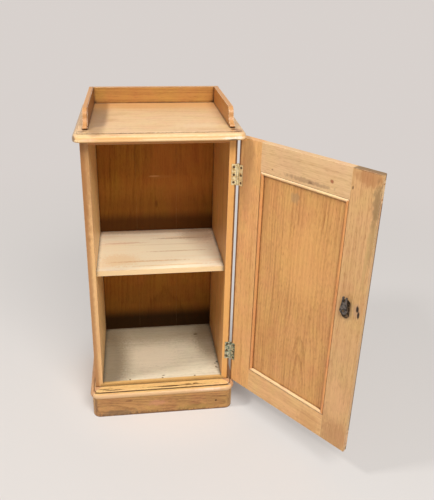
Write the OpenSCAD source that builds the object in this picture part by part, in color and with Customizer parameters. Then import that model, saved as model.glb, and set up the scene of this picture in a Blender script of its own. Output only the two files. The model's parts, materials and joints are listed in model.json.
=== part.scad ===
// Bedside pot cupboard: a tall narrow cupboard with a three-quarter gallery,
// one shelf, a panelled door on two butt hinges, and a turn catch.
// Origin: on the floor, midway across, straight below the plane of the
// cupboard's front edges. X runs right, Y runs back, Z runs up.

/* [Cupboard] */
// Width over the two sides
carcase_w = 350; // [300:1:420]
// Depth of the sides, front edge to back edge
carcase_d = 252; // [230:1:330]
// Height of the top surface above the floor
top_z = 770; // [640:1:930]
// Thickness of the two sides
side_t = 18; // [16:0.5:22]
// Thickness of the bottom board
bottom_t = 9; // [8:0.5:14]
// Thickness of the shelf
shelf_t = 13; // [10:0.5:18]
// Height of the shelf's upper face above the floor
shelf_z = 411; // [320:1:460]
// Distance of the shelf behind the front edges
shelf_set = 16; // [12:1:40]
// Height of the front rail under the top
top_rail_t = 16; // [12:0.5:20]
// Depth of the front rail, front to back
top_rail_d = 36; // [28:1:44]
// Thickness of the back boards
back_t = 9; // [7:0.5:11]

/* [Base] */
// Height of the plinth boards
plinth_h = 59; // [45:1:80]
// Thickness of the plinth boards
plinth_t = 28; // [27:1:34]
// Projection of the plinth in front of the cupboard
plinth_front = 26; // [24:1:27]
// Projection of the plinth past each side
plinth_side = 9; // [6:1:14]
// Radius of the plinth's front corners
plinth_r = 20; // [18:1:24]

/* [Top] */
// Thickness of the top board
top_t = 19; // [17:0.5:24]
// Overhang of the top board in front of the cupboard
top_front = 42; // [34:1:50]
// Overhang of the top board past each side
top_side = 12; // [10:1:18]
// Overhang of the top board behind the cupboard
top_back = 14; // [0:1:20]
// Height of the gallery above the top surface
gallery_h = 41; // [30:1:60]
// Thickness of the gallery boards
gallery_t = 11; // [9:0.5:14]
// Setback of the gallery's outer faces from the ends of the top board
gallery_in = 21; // [18:1:30]
// Length of each gallery side's toe in front of its hollow
gallery_toe = 7; // [5:1:14]
// Setback of the gallery's feet behind the top board's front edge
gallery_foot = 34; // [28:1:60]

/* [Door] */
// Thickness of the door's frame
door_t = 17; // [16:0.5:20]
// Width of the two stiles
stile_w = 63; // [52:1:76]
// Width of the top rail
rail_top_w = 66; // [50:1:80]
// Width of the bottom rail
rail_bottom_w = 65; // [50:1:90]
// Thickness of the panel
panel_t = 7; // [6:0.5:8]
// How far the door stands open at rest, in degrees
open_angle = 128; // [90:1:150]

/* [Hinges and catch] */
// Length of each butt hinge
hinge_h = 51; // [42:1:62]
// Distance of the upper hinge's middle below the door's top
hinge_top_in = 91; // [60:1:120]
// Distance of the lower hinge's middle above the door's bottom
hinge_bottom_in = 90; // [60:1:120]
// Distance of the catch's spindle from the inner edge of its stile
catch_in = 23; // [18:1:27]
// Height of the catch's spindle above the middle of the door
catch_rise = 30; // [20:1:50]
// Diameter of the knob
knob_d = 24; // [18:1:30]

/* [Hidden] */
$fn = 48;
eps = 0.01;

// Heights
bead_d = 14;
ledge_t = 4;
ledge_z = plinth_h + bead_d + ledge_t;
floor_z = ledge_z + bottom_t;
top_under = top_z - top_t;
door_clear = 2;
door_z0 = ledge_z + door_clear;
door_z1 = top_under - door_clear;

// Joinery
plinth_rail_t = 18;
inner_x = carcase_w / 2 - side_t;
housing = 6;
stop_in = 12;
back_rebate = 8;
back_in_y = carcase_d - back_t;
back_boards = 3;
back_w = 2 * (inner_x + back_rebate) / back_boards;
tongue_t = 3;
tongue_l = 5;
nail_d = 2;
nail_head_d = 5;
nail_l = 24;

// Base mouldings: the corners turn about this point on each side
corner_x = carcase_w / 2 + plinth_side - plinth_r;
corner_y = plinth_r - plinth_front;
bead_r = bead_d / 2;
bead_reach = plinth_r - 2;
ledge_reach = plinth_r - 6;
ledge_round = 1.5;
frame_in = 24;
block_w = 24;
top_block_w = 18;
top_block_l = 60;
top_block_in = 8;

// Top board
edge_w = 16;
top_y0 = -top_front;
top_y1 = carcase_d + top_back;
top_x = carcase_w / 2 + top_side;
gallery_x = top_x - gallery_in;
toe_h = 8;

// Door, drawn shut
leaf_t = 1.4;
let_in = 0.8;
leaf_gap = 0.3;
door_gap = 2 * (leaf_t - let_in) + leaf_gap;
door_y1 = -door_gap;
door_y0 = door_y1 - door_t;
door_x0 = -carcase_w / 2;
door_x1 = carcase_w / 2;
open_x0 = door_x0 + stile_w;
open_x1 = door_x1 - stile_w;
open_z0 = door_z0 + rail_bottom_w;
open_z1 = door_z1 - rail_top_w;
groove = 8;
groove_slack = 1;
panel_y = (door_y0 + door_y1) / 2 - panel_t / 2;
tenon_t = 7;
tenon_haunch = 12;
wedge_w = 4;
wedge_l = 25;
edge_round = 6;
bead_w = 8;
bead_proud = 1.2;
bead_in_h = door_y1 + bead_proud - (panel_y + panel_t);
bead_out_w = 12;

// Butt hinge
hinge_upper_z = door_z1 - hinge_top_in;
hinge_lower_z = door_z0 + hinge_bottom_in;
barrel_r = 2.6;
barrel_clear = 0.3;
pin_r = 1.3;
pin_clear = 0.05;
pin_head_r = 2.2;
pin_head_t = 1.6;
axis_x = carcase_w / 2 + barrel_r + barrel_clear;
axis_y = -door_gap / 2;
leaf_w = 11.5;
knuckles = 5;
knuckle_h = hinge_h / knuckles;
knuckle_gap = 0.15;
hinge_screws = 3;
screw_d = 3;
screw_head_d = 6;
screw_head_h = 1.4;
screw_l = 13;
screw_pitch = 18.5;
screw_in = 6.5;

// Turn catch
catch_x = open_x0 - catch_in;
catch_z = (door_z0 + door_z1) / 2 + catch_rise;
catch_to_side = catch_x + inner_x;
spindle_d = 6;
spindle_clear = 0.05;
spindle_way = 0.6;
plate_w = 18;
plate_h = 44;
plate_t = 1.5;
plate_screw_z = 16;
collar_d = 12;
collar_l = 6;
catch_gap = 0.3;
slot_clear = 1.5;
slot_deep = 11;
slot_end = 1;
tongue_len = catch_to_side + slot_deep - slot_end;
tongue_w = 11;
boss_d = 18;
fork_w = 3.5;
fork_l = 12;
catch_t = 3;
rose_d = 30;
rose_t = 2.5;
knob_neck = 9;
knob_l = 26;
small_screw_d = 2.2;
small_head_d = 4.4;
small_head_h = 1.1;
small_screw_l = 9;

wood = "#d2a26a";
wood_dark = "#b27c4a";
wood_pale = "#e8cba0";
wood_grey = "#bfa98c";
brass = "#dcc48a";
brass_dull = "#7f9a78";
iron = "#3a2e24";

BACK_NODES = ["back_board_left", "back_board_middle", "back_board_right"];
BEAD_NAMES = ["bottom", "right", "top", "left"];

// ---------- helpers ----------

// Box from one corner to the opposite one
module block(a, b) {
    translate(a) cube(b - a);
}

// Mirrors its children to the left when side is -1
module on_side(side) {
    if (side > 0) children();
    else mirror([1, 0, 0]) children();
}

// Moves a shut door's pieces to where they are at rest
module in_door() {
    translate([axis_x, axis_y, 0])
        rotate([0, 0, open_angle])
            translate([-axis_x, -axis_y, 0]) children();
}

// Straight length of an outline whose x points away from the cupboard's front
module front_run(x0, x1, y) {
    translate([x0, y, 0])
        rotate([90, 0, 90])
            linear_extrude(x1 - x0) mirror([1, 0]) children();
}

// Straight length of an outline whose x points away from the right side
module side_run(x, y0, y1) {
    translate([x, y1, 0])
        rotate([90, 0, 0])
            linear_extrude(y1 - y0) children();
}

// Part of a turn round a front corner, from angle a to angle b
module corner_turn(x, y, a, b) {
    translate([x, y, 0])
        rotate([0, 0, a])
            rotate_extrude(angle = b - a) children();
}

// Countersunk screw lying along Z, its head's face at zero, its point downward
module screw(d, head_d, head_h, len) {
    translate([0, 0, -head_h]) cylinder(d1 = d, d2 = head_d, h = head_h);
    translate([0, 0, -len]) cylinder(d = d, h = len - head_h + eps);
}

// Nail lying along Z with its head sunk below zero
module nail() {
    translate([0, 0, -nail_l]) cylinder(d = nail_d, h = nail_l);
    translate([0, 0, -1]) cylinder(d = nail_head_d, h = 1);
}

// ---------- base ----------

// Plan of the plinth's outside, with its two rounded front corners
module plinth_plan() {
    w = corner_x + plinth_r;
    translate([-w, corner_y]) square([2 * w, carcase_d - corner_y]);
    translate([-corner_x, corner_y - plinth_r]) square([2 * corner_x, plinth_r]);
    for (s = [-1, 1]) translate([s * corner_x, corner_y]) circle(plinth_r);
}

// Plan of the hollow inside the plinth, open at the back
module plinth_hollow() {
    x = carcase_w / 2 + plinth_side - plinth_t;
    y = plinth_t - plinth_front;
    translate([-x, y]) square([2 * x, 2 * carcase_d]);
}

// Everything in front of the two mitres that meet at the plinth's front corners
module front_wedge() {
    far = 2 * carcase_d;
    out = carcase_w / 2 + plinth_side;
    polygon([[-out - far, -plinth_front - far], [out + far, -plinth_front - far],
             [0, -plinth_front + out]]);
}

module plinth_board(side) {
    linear_extrude(plinth_h) {
        if (side == 0) {
            intersection() {
                difference() {
                    plinth_plan();
                    plinth_hollow();
                }
                front_wedge();
            }
        } else {
            difference() {
                plinth_plan();
                plinth_hollow();
                front_wedge();
                translate([side > 0 ? -2 * carcase_w : 0, -carcase_d])
                    square([2 * carcase_w, 3 * carcase_d]);
            }
        }
    }
}

module plinth_front() {
    color(wood_dark) plinth_board(0);
}

module plinth_left() {
    color(wood_dark) plinth_board(-1);
}

module plinth_right() {
    color(wood_dark) plinth_board(1);
}

module plinth_back() {
    x = carcase_w / 2 + plinth_side - plinth_t;
    color(wood_dark) block([-x, carcase_d - plinth_rail_t, 0], [x, carcase_d, plinth_h]);
}

// Four blocks glued in the plinth's corners, short of the floor
module plinth_blocks() {
    x = carcase_w / 2 + plinth_side - plinth_t;
    rise = 6;
    y_front = plinth_t - plinth_front;
    y_back = carcase_d - plinth_rail_t;
    color(wood_pale)
        for (s = [-1, 1]) on_side(s) {
            block([x - block_w, y_front, rise], [x, y_front + block_w, plinth_h]);
            block([x - block_w, y_back - block_w, rise], [x, y_back, plinth_h]);
        }
}

// Section of the base moulding outside the corner centres: a full round bead,
// a quirk behind it, and a ledge with an eased edge
module base_section() {
    h = bead_d + ledge_t;
    translate([0, plinth_h]) {
        square([bead_reach, bead_r]);
        translate([bead_reach, bead_r]) circle(bead_r);
        square([ledge_reach, h - ledge_round]);
        square([ledge_reach - ledge_round, h]);
        translate([ledge_reach - ledge_round, h - ledge_round]) circle(ledge_round);
    }
}

// Half of the base moulding, from the middle of the front round to the back
module base_half() {
    h = bead_d + ledge_t;
    translate([0, 0, plinth_h]) linear_extrude(h) {
        translate([0, corner_y]) square([corner_x, frame_in]);
        translate([corner_x - frame_in, corner_y]) square([frame_in, carcase_d - corner_y]);
    }
    front_run(0, corner_x, corner_y) base_section();
    side_run(corner_x, corner_y, carcase_d) base_section();
    corner_turn(corner_x, corner_y, -90, 0) base_section();
}

module base_moulding_front() {
    color(wood)
        difference() {
            intersection() {
                for (s = [-1, 1]) on_side(s) base_half();
                linear_extrude(ledge_z) front_wedge();
            }
            bottom_nail_places() nail();
        }
}

module base_moulding_side(side) {
    color(wood)
        difference() {
            on_side(side) base_half();
            linear_extrude(2 * ledge_z) front_wedge();
            bottom_nail_places() nail();
        }
}

module base_moulding_left() {
    base_moulding_side(-1);
}

module base_moulding_right() {
    base_moulding_side(1);
}

// ---------- carcase ----------

// Places of the nails that hold the bottom board down
module bottom_nail_places() {
    edge = 9;
    front_x = inner_x - 71;
    side_x = inner_x - edge;
    for (x = [-front_x, 0, front_x])
        translate([x, edge, floor_z]) children();
    for (x = [-side_x, side_x], y = [40, back_in_y - 54])
        translate([x, y, floor_z]) children();
}

module bottom_nails() {
    color(iron) bottom_nail_places() nail();
}

module bottom_board() {
    x = inner_x + housing;
    color(wood_grey)
        difference() {
            block([-x, 0, ledge_z], [x, back_in_y, floor_z]);
            bottom_nail_places() nail();
            back_nail_places() nail();
        }
}

module shelf() {
    x = inner_x + housing;
    z = shelf_z - shelf_t;
    color(wood_pale)
        difference() {
            union() {
                block([-inner_x, shelf_set, z], [inner_x, back_in_y, shelf_z]);
                block([-x, shelf_set + stop_in, z], [x, back_in_y, shelf_z]);
            }
            back_nail_places() nail();
        }
}

// Rail between the sides under the top, with its ends in stopped housings
module top_rail() {
    x = inner_x + housing;
    z = top_under - top_rail_t;
    color(wood)
        union() {
            block([-inner_x, 0, z], [inner_x, top_rail_d, top_under]);
            block([-x, stop_in, z], [x, top_rail_d, top_under]);
        }
}

// One side, drawn on the right: rebated at the back, housed for the shelf and
// the top rail, and rebated along its foot for the bottom board
module side_board() {
    difference() {
        block([inner_x, 0, ledge_z], [carcase_w / 2, carcase_d, top_under]);
        block([inner_x - eps, back_in_y, ledge_z - eps],
              [inner_x + back_rebate, carcase_d + eps, top_under + eps]);
        block([inner_x - eps, shelf_set + stop_in, shelf_z - shelf_t],
              [inner_x + housing, back_in_y + eps, shelf_z]);
        block([inner_x - eps, stop_in, top_under - top_rail_t],
              [inner_x + housing, top_rail_d, top_under + eps]);
        block([inner_x - eps, -eps, ledge_z - eps],
              [inner_x + housing, back_in_y + eps, floor_z]);
    }
}

// Slotted for the catch's tongue, as high as the tongue's corner swings
module side_left() {
    reach = catch_gap + slot_clear;
    tongue_y = door_y1 + plate_t + collar_l;
    swing = norm([tongue_len, tongue_w / 2]);
    rise = sqrt(pow(swing, 2) - pow(catch_to_side, 2));
    color(wood)
        difference() {
            mirror([1, 0, 0]) side_board();
            block([-inner_x - slot_deep, tongue_y - reach, catch_z - tongue_w / 2 - slot_clear],
                  [-inner_x + eps, tongue_y + catch_t + reach, catch_z + rise + slot_clear]);
        }
}

module side_right() {
    color(wood)
        difference() {
            side_board();
            for (z = [hinge_upper_z, hinge_lower_z]) {
                block([carcase_w / 2 - leaf_w, -eps, z - hinge_h / 2],
                      [carcase_w / 2 + eps, let_in, z + hinge_h / 2]);
                carcase_screw_places(z) screw(screw_d, screw_head_d, screw_head_h, screw_l);
            }
        }
}

// One upright back board, number n from the left, tongued into its neighbour
module back_board(n) {
    x0 = -inner_x - back_rebate + n * back_w;
    x1 = x0 + back_w;
    y = back_in_y + (back_t - tongue_t) / 2;
    slack = 0.5;
    last = n == back_boards - 1;
    difference() {
        union() {
            block([x0, back_in_y, ledge_z], [x1, carcase_d, top_under]);
            if (!last) block([x1 - eps, y, ledge_z], [x1 + tongue_l, y + tongue_t, top_under]);
        }
        if (n > 0)
            block([x0 - eps, y, ledge_z - eps],
                  [x0 + tongue_l + slack, y + tongue_t, top_under + eps]);
        back_nail_places() nail();
    }
}

// Nails through the back boards into the shelf and the bottom board
module back_nail_places() {
    inset = 22;
    for (z = [shelf_z - shelf_t / 2, floor_z - bottom_t / 2], n = [0 : back_boards - 1])
        for (x = [inset, back_w - inset])
            translate([-inner_x - back_rebate + n * back_w + x, carcase_d, z])
                rotate([-90, 0, 0]) children();
}

module back_nails() {
    color(iron) back_nail_places() nail();
}

// ---------- top ----------

// Section of the top board's edge: a thumb moulding below a small step
module top_section() {
    step_x = 7;
    thumb_r = 9;
    face_z = 4;
    under_r = 4;
    translate([0, top_under]) {
        square([step_x - 1, top_t]);
        square([edge_w - under_r, face_z + under_r]);
        translate([0, face_z]) square([edge_w, under_r]);
        translate([edge_w - under_r, face_z]) circle(under_r);
        intersection() {
            translate([step_x, face_z + under_r]) circle(thumb_r);
            translate([0, face_z + under_r]) square([edge_w, top_t]);
        }
    }
}

module top_board() {
    x = top_x - edge_w;
    y = top_y0 + edge_w;
    color(wood_pale)
        difference() {
            union() {
                block([-x, y, top_under], [x, top_y1, top_z]);
                front_run(-x, x, y) top_section();
                for (s = [-1, 1]) on_side(s) {
                    side_run(x, y, top_y1) top_section();
                    corner_turn(x, y, -90, 0) top_section();
                }
            }
            gallery_nail_places() nail();
        }
}

// Four blocks glued under the top in the corners with the sides
module top_blocks() {
    leg = top_block_w;
    y_front = top_rail_d + top_block_in;
    y_back = back_in_y - top_block_in - top_block_l;
    color(wood_pale)
        for (s = [-1, 1], y = [y_front, y_back]) on_side(s)
            translate([inner_x, y + top_block_l, top_under])
                rotate([90, 0, 0])
                    linear_extrude(top_block_l) polygon([[0, 0], [0, -leg], [-leg, 0]]);
}

// Nails up through the top board into the gallery boards
module gallery_nail_places() {
    x_mid = gallery_x - gallery_t / 2;
    y_mid = top_y1 - gallery_t / 2;
    x_end = gallery_x - 66;
    sunk = top_under + 1;
    for (x = [-x_end, 0, x_end])
        translate([x, y_mid, sunk]) rotate([180, 0, 0]) children();
    for (x = [-x_mid, x_mid], y = [top_y1 - 173, top_y1 - 93])
        translate([x, y, sunk]) rotate([180, 0, 0]) children();
}

module gallery_nails() {
    color(iron) gallery_nail_places() nail();
}

module gallery_back() {
    x = gallery_x - gallery_t;
    color(wood)
        difference() {
            block([-x, top_y1 - gallery_t, top_z], [x, top_y1, top_z + gallery_h]);
            gallery_nail_places() nail();
        }
}

// Side view of a gallery side: level, then an ogee down to a round toe. The
// outline's x runs back and its y runs up.
module gallery_outline() {
    r = (gallery_h - toe_h) / 2;
    foot = top_y0 + gallery_foot;
    hollow = foot + gallery_toe;
    shoulder = hollow + 2 * r;
    translate([shoulder, 0]) square([top_y1 - shoulder, gallery_h]);
    translate([shoulder - r, 0]) square([r + eps, gallery_h - r]);
    translate([shoulder, gallery_h - r]) circle(r);
    difference() {
        translate([hollow, 0]) square([r + eps, toe_h + r]);
        translate([hollow, gallery_h - r]) circle(r);
    }
    translate([foot + toe_h / 2, 0]) square([gallery_toe, toe_h]);
    translate([foot + toe_h / 2, toe_h / 2]) circle(toe_h / 2);
}

module gallery_side(side) {
    color(wood)
        difference() {
            translate([side > 0 ? gallery_x - gallery_t : -gallery_x, 0, top_z])
                rotate([90, 0, 90]) linear_extrude(gallery_t) gallery_outline();
            gallery_nail_places() nail();
        }
}

module gallery_left() {
    gallery_side(-1);
}

module gallery_right() {
    gallery_side(1);
}

// ---------- door ----------

// Tenon in the middle of the frame's thickness, from x0 to x1 and z0 to z1
module tenon(x0, x1, z0, z1) {
    y = (door_y0 + door_y1 - tenon_t) / 2;
    block([x0, y, z0], [x1, y + tenon_t, z1]);
}

// Heights of each rail's tenon: [lower rail, upper rail]
tenon_z = [[door_z0 + tenon_haunch, open_z0 - groove],
           [open_z1 + groove, door_z1 - tenon_haunch]];

// The eight wedges, two in each through tenon, thin end inward
module wedges() {
    y = (door_y0 + door_y1 - tenon_t) / 2;
    inset = 7;
    for (s = [-1, 1], z = tenon_z, up = [z[0] + inset, z[1] - inset])
        on_side(s)
            translate([door_x1, y, up])
                rotate([-90, 0, 0])
                    linear_extrude(tenon_t)
                        polygon([[0, -wedge_w / 2], [0, wedge_w / 2], [-wedge_l, 0]]);
}

// Stile drawn on the right, with its groove, its mortises and a rounded outer edge
module stile() {
    gy = panel_y;
    difference() {
        union() {
            block([open_x1, door_y0, door_z0], [door_x1 - edge_round, door_y1, door_z1]);
            block([open_x1, door_y0 + edge_round, door_z0], [door_x1, door_y1, door_z1]);
            translate([door_x1 - edge_round, door_y0 + edge_round, door_z0])
                cylinder(r = edge_round, h = door_z1 - door_z0);
        }
        block([open_x1 - eps, gy, open_z0 - groove], [open_x1 + groove, gy + panel_t, open_z1 + groove]);
        for (z = tenon_z) tenon(open_x1 - eps, door_x1 + eps, z[0], z[1]);
    }
}

module door_stile_hinge() {
    color(wood) in_door()
        difference() {
            stile();
            for (z = [hinge_upper_z, hinge_lower_z]) {
                block([door_x1 - leaf_w, door_y1 - let_in, z - hinge_h / 2],
                      [door_x1 + eps, door_y1 + eps, z + hinge_h / 2]);
                door_screw_places(z) screw(screw_d, screw_head_d, screw_head_h, screw_l);
            }
        }
}

module door_stile_lock() {
    color(wood) in_door()
        difference() {
            mirror([1, 0, 0]) stile();
            translate([catch_x, door_y1 + eps, catch_z]) rotate([90, 0, 0])
                cylinder(d = spindle_d + 2 * spindle_way, h = door_t + 2 * eps);
            plate_screw_places() small_screw();
            rose_pin_places() small_screw();
        }
}

// Rail between the stiles: which is 0 for the lower one and 1 for the upper one
module rail(which) {
    z0 = which == 0 ? door_z0 : open_z1;
    z1 = which == 0 ? open_z0 : door_z1;
    g0 = which == 0 ? open_z0 - groove : open_z1 - eps;
    g1 = which == 0 ? open_z0 + eps : open_z1 + groove;
    color(wood) in_door()
        difference() {
            union() {
                block([open_x0, door_y0, z0], [open_x1, door_y1, z1]);
                tenon(door_x0, door_x1, tenon_z[which][0], tenon_z[which][1]);
            }
            block([open_x0 - eps, panel_y, g0], [open_x1 + eps, panel_y + panel_t, g1]);
            wedges();
        }
}

module door_rail_top() {
    rail(1);
}

module door_rail_bottom() {
    rail(0);
}

module door_wedges() {
    color(wood_dark) in_door() wedges();
}

module door_panel() {
    g = groove - groove_slack;
    color(wood) in_door()
        block([open_x0 - g, panel_y, open_z0 - g], [open_x1 + g, panel_y + panel_t, open_z1 + g]);
}

// Triangle that keeps one side of a mitred frame: 0 bottom, 1 right, 2 top, 3 left
module bead_wedge(n) {
    half_w = (open_x1 - open_x0) / 2;
    half_h = (open_z1 - open_z0) / 2;
    flat = half_h - half_w;
    cx = (open_x0 + open_x1) / 2;
    cz = (open_z0 + open_z1) / 2;
    translate([cx, cz])
        if (n == 0)
            polygon([[-half_w, -half_h], [half_w, -half_h], [0, -flat]]);
        else if (n == 2)
            polygon([[half_w, half_h], [-half_w, half_h], [0, flat]]);
        else
            mirror([n == 3 ? 1 : 0, 0])
                polygon([[half_w, -half_h], [half_w, half_h], [0, flat], [0, -flat]]);
}

// Section of the bead on the door's inside: a flat back and a round nose
module inner_bead_section() {
    r = bead_w / 2;
    rise = max(bead_in_h - r, 1);
    square([bead_w, rise]);
    intersection() {
        translate([r, rise]) circle(r);
        translate([0, rise]) square([bead_w, bead_in_h - rise]);
    }
}

// Section of the moulding on the door's outside: a hollow above a round
module outer_bead_section() {
    h = panel_y - door_y0;
    difference() {
        square([bead_out_w, h]);
        translate([bead_out_w, h]) circle(h * 0.8);
    }
}

// Lays a section along one side of the opening, against the panel at height y.
// The section's x points into the opening and its y away from the panel.
module bead_run(n, y, out) {
    w = open_x1 - open_x0;
    h = open_z1 - open_z0;
    long = n % 2 == 1 ? h : w;
    place = [[open_x0, open_z0], [open_x1, open_z0], [open_x1, open_z1], [open_x0, open_z1]];
    intersection() {
        translate([place[n][0], y, place[n][1]])
            rotate([0, -90 * n, 0])
                rotate([90, 0, 90])
                    linear_extrude(long)
                        rotate([0, 0, 90]) mirror([0, out > 0 ? 1 : 0]) children();
        translate([0, door_gap + door_t, 0])
            rotate([90, 0, 0]) linear_extrude(3 * door_t) bead_wedge(n);
    }
}

module inner_bead(n) {
    color(wood_dark) in_door() bead_run(n, panel_y + panel_t, 1) inner_bead_section();
}

module outer_bead(n) {
    color(wood_dark) in_door() bead_run(n, panel_y, -1) outer_bead_section();
}

// ---------- hinges ----------

// Screw places in the leaf on the cupboard, heads facing forward
module carcase_screw_places(z) {
    for (i = [0 : hinge_screws - 1])
        translate([carcase_w / 2 - screw_in, let_in - leaf_t, z + (i - 1) * screw_pitch])
            rotate([90, 0, 0]) children();
}

// Screw places in the leaf on the door, heads facing the cupboard
module door_screw_places(z) {
    for (i = [0 : hinge_screws - 1])
        translate([door_x1 - screw_in, door_y1 + leaf_t - let_in, z + (i - 1) * screw_pitch])
            rotate([-90, 0, 0]) children();
}

// One leaf with its knuckles. Knuckles whose number has the given parity stay.
// The leaf's plate lies between y0 and y1.
module leaf(z, y0, y1, parity) {
    x_edge = carcase_w / 2;
    z0 = z - hinge_h / 2;
    difference() {
        union() {
            block([x_edge - leaf_w, y0, z0], [x_edge, y1, z0 + hinge_h]);
            for (k = [0 : knuckles - 1])
                if (k % 2 == parity) {
                    a = z0 + k * knuckle_h + (k == 0 ? 0 : knuckle_gap);
                    b = z0 + (k + 1) * knuckle_h - (k == knuckles - 1 ? 0 : knuckle_gap);
                    block([x_edge - eps, y0, a], [axis_x, y1, b]);
                    translate([axis_x, axis_y, a]) cylinder(r = barrel_r, h = b - a);
                }
        }
        translate([axis_x, axis_y, z0 - eps])
            cylinder(r = pin_r + pin_clear, h = hinge_h + 2 * eps);
    }
}

module leaf_carcase(z, tint) {
    color(tint)
        difference() {
            leaf(z, let_in - leaf_t, let_in, 0);
            carcase_screw_places(z) screw(screw_d, screw_head_d, screw_head_h, screw_l);
        }
}

module leaf_door(z, tint) {
    color(tint) in_door()
        difference() {
            leaf(z, door_y1 - let_in, door_y1 - let_in + leaf_t, 1);
            door_screw_places(z) screw(screw_d, screw_head_d, screw_head_h, screw_l);
        }
}

module hinge_pin(z, tint) {
    color(tint)
        translate([axis_x, axis_y, z - hinge_h / 2]) {
            cylinder(r = pin_r, h = hinge_h + eps);
            translate([0, 0, hinge_h]) cylinder(r = pin_head_r, h = pin_head_t);
        }
}

module screws_carcase(z, tint) {
    color(tint)
        carcase_screw_places(z) screw(screw_d, screw_head_d, screw_head_h, screw_l);
}

module screws_door(z, tint) {
    color(tint) in_door()
        door_screw_places(z) screw(screw_d, screw_head_d, screw_head_h, screw_l);
}

// ---------- catch ----------

module small_screw() {
    screw(small_screw_d, small_head_d, small_head_h, small_screw_l);
}

module plate_screw_places() {
    for (dz = [-plate_screw_z, plate_screw_z])
        translate([catch_x, door_y1 + plate_t, catch_z + dz]) rotate([-90, 0, 0]) children();
}

module rose_pin_places() {
    for (dx = [-1, 1])
        translate([catch_x + dx * (rose_d / 2 - 4), door_y0 - rose_t, catch_z])
            rotate([90, 0, 0]) children();
}

// Hole for the spindle through a plate, from y0 to y1
module spindle_hole(y0, y1) {
    translate([catch_x, y1 + eps, catch_z]) rotate([90, 0, 0])
        cylinder(d = spindle_d + 2 * spindle_clear, h = y1 - y0 + 2 * eps);
}

// Plate with round ends
module catch_plate() {
    flat = plate_h - plate_w;
    color(iron) in_door()
        difference() {
            translate([catch_x, door_y1 + plate_t, catch_z]) rotate([90, 0, 0])
                linear_extrude(plate_t) {
                    translate([-plate_w / 2, -flat / 2]) square([plate_w, flat]);
                    for (s = [-1, 1]) translate([0, s * flat / 2]) circle(plate_w / 2);
                }
            spindle_hole(door_y1, door_y1 + plate_t);
            plate_screw_places() small_screw();
        }
}

module catch_screws() {
    color(iron) in_door() plate_screw_places() small_screw();
}

module catch_rose() {
    color(brass) in_door()
        difference() {
            translate([catch_x, door_y0, catch_z]) rotate([90, 0, 0])
                cylinder(d = rose_d, h = rose_t);
            spindle_hole(door_y0 - rose_t, door_y0);
            rose_pin_places() small_screw();
        }
}

module catch_rose_pins() {
    color(brass) in_door() rose_pin_places() small_screw();
}

module catch_spindle() {
    y0 = door_y0 - rose_t - catch_gap - knob_l * 0.6;
    y1 = door_y1 + plate_t + catch_gap + collar_l + catch_t;
    color(iron) in_door()
        translate([catch_x, y1, catch_z]) rotate([90, 0, 0])
            cylinder(d = spindle_d, h = y1 - y0);
}

module catch_collar() {
    y = door_y1 + plate_t + catch_gap;
    color(iron) in_door()
        translate([catch_x, y + collar_l, catch_z]) rotate([90, 0, 0])
            difference() {
                cylinder(d = collar_d, h = collar_l);
                translate([0, 0, -eps]) cylinder(d = spindle_d, h = collar_l + 2 * eps);
            }
}

// Outline of the tongue, standing up: a round boss that narrows to a fork with
// two round prongs
module tongue_outline() {
    prong_w = (tongue_w - fork_w) / 2;
    fork_z = tongue_len - fork_l;
    difference() {
        union() {
            circle(boss_d / 2);
            polygon([[-boss_d / 2, 0], [boss_d / 2, 0], [tongue_w / 2, fork_z], [-tongue_w / 2, fork_z]]);
            for (s = [-1, 1]) {
                translate([s * (tongue_w - prong_w) / 2 - prong_w / 2, fork_z - eps])
                    square([prong_w, fork_l - prong_w / 2 + eps]);
                translate([s * (tongue_w - prong_w) / 2, tongue_len - prong_w / 2])
                    circle(prong_w / 2);
            }
        }
        circle(spindle_d / 2);
        translate([0, fork_z]) circle(fork_w / 2);
    }
}

// Tongue that stands up when the door is free and lies level when it is held
module catch_tongue() {
    y = door_y1 + plate_t + catch_gap + collar_l;
    color(iron) in_door()
        translate([catch_x, y + catch_t, catch_z]) rotate([90, 0, 0])
            linear_extrude(catch_t) tongue_outline();
}

// Turned knob: a neck that swells into a flattened ball
module catch_knob() {
    r = knob_d / 2;
    depth = knob_l * 0.6;
    color(brass) in_door()
        translate([catch_x, door_y0 - rose_t - catch_gap, catch_z]) rotate([90, 0, 0])
            difference() {
                union() {
                    cylinder(r = knob_neck, h = 2);
                    cylinder(r = knob_neck * 0.6, h = knob_l - r);
                    intersection() {
                        translate([0, 0, knob_l - r]) sphere(r);
                        cylinder(r = 2 * r, h = knob_l);
                    }
                }
                translate([0, 0, -eps]) cylinder(d = spindle_d, h = depth + eps);
            }
}

plinth_front();
plinth_left();
plinth_right();
plinth_back();
plinth_blocks();
base_moulding_front();
base_moulding_left();
base_moulding_right();
bottom_board();
side_left();
side_right();
shelf();
top_rail();
color(wood_dark) back_board(0);  // back_board_left
color(wood_dark) back_board(1);  // back_board_middle
color(wood_dark) back_board(2);  // back_board_right
back_nails();
bottom_nails();
top_board();
top_blocks();
gallery_back();
gallery_left();
gallery_right();
gallery_nails();
door_stile_hinge();
door_stile_lock();
door_rail_top();
door_rail_bottom();
door_wedges();
door_panel();
inner_bead(0);  // inner_bead_bottom
inner_bead(1);  // inner_bead_right
inner_bead(2);  // inner_bead_top
inner_bead(3);  // inner_bead_left
outer_bead(0);  // outer_bead_bottom
outer_bead(1);  // outer_bead_right
outer_bead(2);  // outer_bead_top
outer_bead(3);  // outer_bead_left
leaf_carcase(hinge_upper_z, brass);  // hinge_upper_leaf_carcase
leaf_door(hinge_upper_z, brass);  // hinge_upper_leaf_door
hinge_pin(hinge_upper_z, brass);  // hinge_upper_pin
screws_carcase(hinge_upper_z, brass);  // hinge_upper_screws_carcase
screws_door(hinge_upper_z, brass);  // hinge_upper_screws_door
leaf_carcase(hinge_lower_z, brass_dull);  // hinge_lower_leaf_carcase
leaf_door(hinge_lower_z, brass_dull);  // hinge_lower_leaf_door
hinge_pin(hinge_lower_z, brass_dull);  // hinge_lower_pin
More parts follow.
